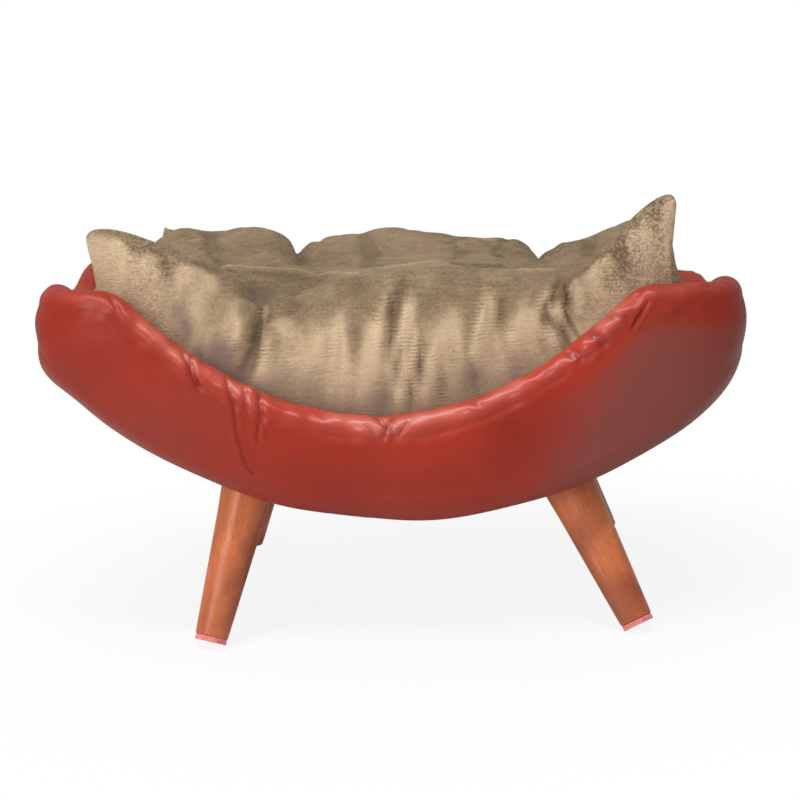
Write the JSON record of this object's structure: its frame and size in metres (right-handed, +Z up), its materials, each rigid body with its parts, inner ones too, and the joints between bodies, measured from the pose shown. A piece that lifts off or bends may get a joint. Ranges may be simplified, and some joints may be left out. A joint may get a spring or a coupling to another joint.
{
  "type": "cat bed",
  "caption": "Boat-shaped cat bed: a padded leather tub on splayed turned wooden legs, with a loose tufted cushion that lifts out.",
  "frame": {"origin": "on the floor, under the middle of the tub, where the four felt pads stand on Z = 0", "axes": "+X along the bed towards its right end, +Y towards the back, +Z up"},
  "size_m": [0.606, 0.374, 0.3549],
  "materials": {
    "red_leather": "glossy smooth hide",
    "plywood": "sanded, unfinished",
    "zinc_steel": "zinc plated",
    "foam": "open-cell foam",
    "stained_leg_wood": "stained, satin",
    "pink_felt": "pressed felt",
    "black_cloth": "non-woven",
    "taupe_velvet": "crushed velvet"
  },
  "bodies": {
    "bed_frame": {"front_board": "plywood", "back_board": "plywood", "left_end_board": "plywood", "right_end_board": "plywood", "floor_board": "plywood", "left_leg_rail": "plywood", "right_leg_rail": "plywood", "frame_screws": "zinc_steel", "leg_t_nuts": "zinc_steel", "leg_bolts": "zinc_steel", "front_padding": "foam", "back_padding": "foam", "left_end_padding": "foam", "right_end_padding": "foam", "underside_padding": "foam", "floor_padding": "foam", "front_cover": "red_leather", "back_cover": "red_leather", "left_end_cover": "red_leather", "right_end_cover": "red_leather", "floor_lining": "red_leather", "underside_cloth": "black_cloth", "cloth_staples": "zinc_steel", "front_left_leg": "stained_leg_wood", "front_right_leg": "stained_leg_wood", "back_left_leg": "stained_leg_wood", "back_right_leg": "stained_leg_wood", "front_left_felt": "pink_felt", "front_right_felt": "pink_felt", "back_left_felt": "pink_felt", "back_right_felt": "pink_felt"},
    "cushion": {"cushion": "taupe_velvet"}
  },
  "joints": [
    {"name": "cushion_lift", "type": "slide", "parent": "bed_frame", "child": "cushion", "axis": [0, 0, 1], "range_m": [0, 0.3]}
  ]
}
